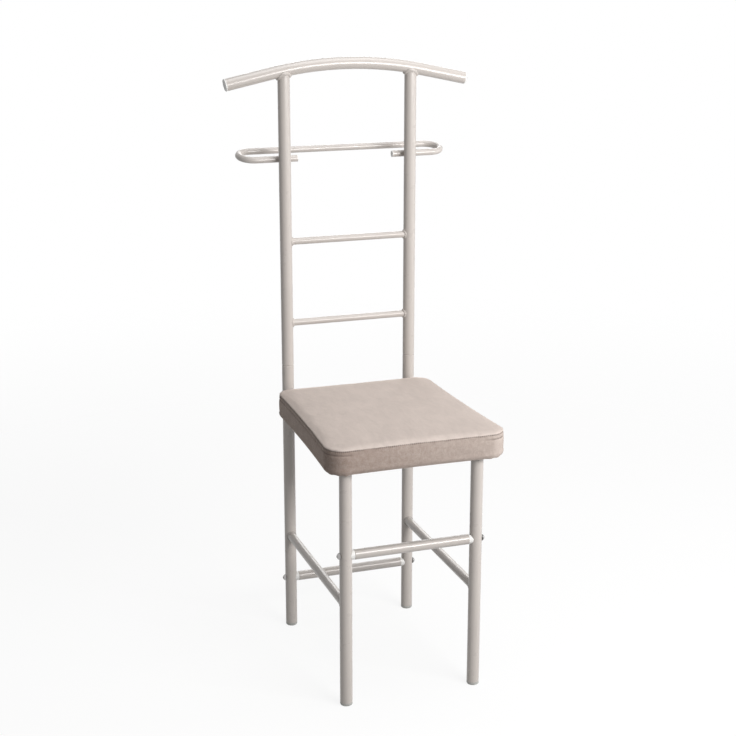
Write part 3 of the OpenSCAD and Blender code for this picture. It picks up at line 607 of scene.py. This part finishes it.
# Along the seam the cover lies in shallow puckers: PUCKER times three waves round the seat, which fade away from the
# line PUCKER_OFF from the seam as exp(-(distance / PUCKER_FADE)^2). Within SEAM_CLEAR of it the seam stays straight
PUCKER, PUCKER_OFF, PUCKER_FADE, SEAM_CLEAR = 0.00024, 0.0045, 0.0035, 0.0008
outline = closed_ring(N, 0.0)
along = run_of(outline)
around = float(along[-1] + np.linalg.norm(outline[0] - outline[-1]))
turn = 2 * np.pi * along / around
wave = np.sin(97 * turn + 0.4) + 0.8 * np.sin(151 * turn + 2.0) + 0.7 * np.sin(61 * turn + 4.0)
fade = np.exp(-((np.abs(profile) - PUCKER_OFF) / PUCKER_FADE) ** 2) * (np.abs(profile) > SEAM_CLEAR)
relief = PUCKER * fade[:, None] * wave[None, :]

# Below the seam the second row of stitches draws the boxing in by DRAW_LEAST, and by up to DRAW_MORE beyond that round
# the corners, as exp(-(distance from the corner / CORNER_REACH)^6). Along the left and right sides it is SIDE_SHARE
# of that, as exp(-(columns from the side's middle / SIDE_REACH)^8). The crease itself is DRAW_WIDTH wide
DRAW_LEAST, DRAW_MORE, DRAW_WIDTH, CORNER_REACH = 0.0001, 0.0011, 0.0011, 0.036
SIDE_SHARE, SIDE_REACH = 0.6, 0.95 * N
corner_at = np.array([0, 2, 4, 6, 8]) * N
column = np.arange(COLUMNS)
off_corner = np.abs(column[:, None] - corner_at[None, :]).min(axis=1) * around / COLUMNS
bend = np.exp(-(off_corner / CORNER_REACH) ** 6)
for side in (3 * N, 7 * N):
    bend = np.maximum(bend, SIDE_SHARE * np.exp(-((column - side) / SIDE_REACH) ** 8))
crease = np.exp(-((profile - profile[CREASE_ROW]) / DRAW_WIDTH) ** 2)
relief -= crease[:, None] * (DRAW_LEAST + DRAW_MORE * bend)[None, :]
on_strip = relief.size
points[:on_strip] += relief.reshape(-1, 1) * normals_of(points, faces)[:on_strip]

# Round the lower corners the cloth is gathered in pleats, each a ridge that hangs a little below the base. A pleat is
# its corner's column, its distance past it, and its depth, and it falls off as exp(-(distance / PLEAT_W)^2) along
# the seat and likewise by PLEAT_H up the profile
PLEAT_W, PLEAT_H = 0.0042, 0.0075
PLEATS = ((4 * N, 0.024, 0.0026), (4 * N, 0.008, 0.0012), (4 * N, -0.010, 0.0014), (6 * N, -0.008, 0.0016),
          (6 * N, -0.026, 0.0010), (6 * N, 0.010, 0.0012), (0, -0.012, 0.0012), (0, 0.010, 0.0014),
          (2 * N, -0.010, 0.0013), (2 * N, 0.012, 0.0012))
under = np.exp(-((profile - profile[LOW_BASE_ROW]) / PLEAT_H) ** 2)
for corner, offset, depth in PLEATS:
    distance = along - (along[corner] + offset)
    distance = (distance + around / 2) % around - around / 2
    ridge = np.exp(-(distance / PLEAT_W) ** 2)
    points[:on_strip, 2] -= (depth * under[:, None] * ridge[None, :]).reshape(-1)

# The inner skin lies a cover's thickness inside, and both meet at the rim of the fold
count = len(points)
both = np.vstack((points, points - COVER_T * normals_of(points, faces)))
following = (column + 1) % COLUMNS
rim = np.stack((following, column, column + count, following + count), -1)
all_faces = np.vstack((faces, faces[:, ::-1] + count, rim))
cushion = new_mesh("seat_cushion", both, all_faces)

# UV map: round the seat and up its profile, in metres, with v = 0 on the seam. The top panel lies wholly past the
# seam's reach, at v = PANEL_V, and the faces that close the ring run on past its end instead of back to 0
PANEL_V = 0.1
u_at, v_at = np.zeros(count), np.full(count, PANEL_V)
u_at[:on_strip], v_at[:on_strip] = np.tile(along, ROWS), np.repeat(profile, COLUMNS)
strip_u = u_at[strip_faces]
wraps = np.zeros(all_faces.shape, bool)
wraps[:len(strip_faces)] = np.ptp(strip_u, axis=1)[:, None] > around / 2
wraps[:len(strip_faces)] &= strip_u < around / 2
corners = all_faces.ravel() % count
seam_uv = np.stack((u_at[corners] + np.where(wraps.ravel(), around, 0.0), v_at[corners]), -1)
cushion.data.uv_layers.new(name="seam").data.foreach_set("uv", seam_uv.astype(np.float32).ravel())
drawn = np.concatenate((np.tile(bend, ROWS), np.zeros(2 * count - on_strip)))
cushion.data.attributes.new("gather", "FLOAT", "POINT").data.foreach_set("value", drawn.astype(np.float32))
cushion.data.materials.append(velvet_look)
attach(cushion, "root")
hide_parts("seat_cover")

# The foam under the cover: the same form FOAM_IN further in, cut flat just above the board. Its side starts at least
# FOOT_UP above the cut, which lies FOOT_IN further in than the side
FOAM_N, FOAM_Z, FOAM_IN, FOAM_CROWN = 14, 0.4532, 0.0046, 0.001
FOOT_UP, FOOT_IN = 0.001, 0.0004
foam_shell = [(x, z) for x, z in shell_rows(FOAM_IN) if z > FOAM_Z + FOOT_UP]
foam_foot = foam_shell[0][0] + FOOT_IN
foam_rows = [(foam_foot, FOAM_Z)] + foam_shell
foam_base = patch(ring(FOAM_N, foam_foot), FOAM_N)
foam_base = np.dstack((foam_base[..., 0], foam_base[..., 1] + SEAT_Y, np.full(foam_base.shape[:2], FOAM_Z)))
foam_points = np.vstack((swept(foam_rows, FOAM_N).reshape(-1, 3), within(domed(foam_shell, FOAM_N, FOAM_CROWN)),
                         within(foam_base)))
side_quads, top_quads = skin_faces(len(foam_rows), FOAM_N)
_, base_quads = skin_faces(1, FOAM_N)
foam_columns = 8 * FOAM_N
base_starts = len(foam_rows) * foam_columns + (2 * FOAM_N - 1) ** 2
base_quads = np.where(base_quads >= foam_columns, base_quads - foam_columns + base_starts, base_quads)
foam_piece = new_mesh("seat_foam_block", foam_points, np.vstack((side_quads, top_quads, base_quads[:, ::-1])))
foam_piece.data.materials.append(foam_look)
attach(foam_piece, "root")
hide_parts("seat_foam")

# ---- Floor, light and background ----

FLOOR_R, SPOKES, HOOPS = 3.2, 96, 12
FADE_FROM, FADE_TO = 1.0, 3.0
# The floor's two whites where it is seen, with the share of them that is a plain white glow, and the grey that it
# sends up to the object
PAPER, PALE_PAPER, FLOOR_GLOW = (0.90, 0.90, 0.90), (0.92, 0.92, 0.92), 0.88
FLOOR_GREY = (0.46, 0.46, 0.46)
WHITE = (1.0, 1.0, 1.0, 1.0)
# The world's strength where it lights the object, and where it is seen
WORLD_LIGHT, WORLD_SEEN = 0.2, 1.0


def seen(t):
    """1 for what the camera, gloss and glass see, and 0 for the light that reaches the object."""
    path = t.add("ShaderNodeLightPath").outputs
    return t.math("ADD", t.plus(path["Is Camera Ray"], path["Is Glossy Ray"]), path["Is Transmission Ray"], clamp=True)


# The floor is a disc of hoops and spokes, whose middle is closed with quads that share one point
angle = np.linspace(0, 2 * np.pi, SPOKES, endpoint=False)
reach = np.linspace(0, FLOOR_R, HOOPS + 1)[1:]
disc = np.stack([np.outer(reach, f(angle)).ravel() for f in (np.cos, np.sin)] + [np.zeros(SPOKES * HOOPS)], -1)
hoop, spoke = np.meshgrid(np.arange(HOOPS - 1) * SPOKES, np.arange(SPOKES), indexing="ij")
beside = (spoke + 1) % SPOKES
quads = np.stack((hoop + spoke, hoop + SPOKES + spoke, hoop + SPOKES + beside, hoop + beside), -1).reshape(-1, 4)
even = np.arange(0, SPOKES, 2)
middle = np.stack((even, even + 1, (even + 2) % SPOKES, np.full(len(even), SPOKES * HOOPS)), -1)
floor = new_mesh("floor", np.vstack((disc, (0, 0, 0))), np.vstack((quads, middle)))
floor_look = bpy.data.materials.new("floor_paper")
floor_look.use_nodes = True
t = Tree(floor_look.node_tree)
is_seen = seen(t)
paper = t.add("ShaderNodeBsdfDiffuse", Roughness=0.6)
t.put(paper, "Color", t.mix(is_seen, FLOOR_GREY, t.mix(t.noise(3.0, 2.0), PAPER, PALE_PAPER)))
glow = t.add("ShaderNodeEmission", Color=WHITE, Strength=1.0)
bright = t.mix_shaders(t.times(is_seen, FLOOR_GLOW), paper.outputs[0], glow.outputs[0])
away = t.add("ShaderNodeVectorMath", {"operation": "LENGTH"})
t.put(away, "0", t.coords())
fading = t.spread(away.outputs["Value"], FADE_FROM, FADE_TO, 0.0, 1.0, "SMOOTHSTEP")
faded = t.mix_shaders(fading, bright, t.add("ShaderNodeBsdfTransparent").outputs[0])
t.put(t.add("ShaderNodeOutputMaterial"), "Surface", faded)
floor.data.materials.append(floor_look)

world = bpy.data.worlds.new("studio")
world.use_nodes = True
scene.world = world
t = Tree(world.node_tree)
light, shown = (t.add("ShaderNodeBackground", Color=WHITE, Strength=k).outputs[0] for k in (WORLD_LIGHT, WORLD_SEEN))
t.put(t.add("ShaderNodeOutputWorld"), "Surface", t.mix_shaders(seen(t), light, shown))


def softbox(name, place, aim, size, power, color=(1.0, 1.0, 1.0)):
    """A rectangular lamp at place that faces aim. size is its width and height, and power is in watts."""
    lamp = bpy.data.lights.new(name, "AREA")
    lamp.shape = "RECTANGLE"
    lamp.size, lamp.size_y = size
    lamp.energy, lamp.color = power, color
    piece = bpy.data.objects.new(name, lamp)
    scene.collection.objects.link(piece)
    piece.location = place
    piece.rotation_mode = "QUATERNION"
    piece.rotation_quaternion = (Vector(aim) - Vector(place)).to_track_quat("-Z", "Y")
    piece.visible_camera = False


# The key lamp in front is wide and low, so that it draws thin bright lines along the tubes. The side lamp fills the
# right, the overhead lamp lights the seat, and the rear lamp keeps the back of the tubes from going dark
WARM = (1.0, 0.99, 0.98)
softbox("key", (0.82, -1.58, 1.19), (0.0, 0.0, 0.62), (1.3, 0.46), 31.0, WARM)
softbox("side", (2.1, -0.7, 0.95), (0.0, 0.0, 0.6), (0.8, 1.3), 7.5, WARM)
softbox("overhead", (0.4, -0.2, 3.3), (0.0, 0.0, 0.3), (2.0, 2.0), 34.0)
softbox("rear", (0.9, 2.6, 1.5), (0.0, 0.0, 0.55), (1.2, 1.2), 14.0)
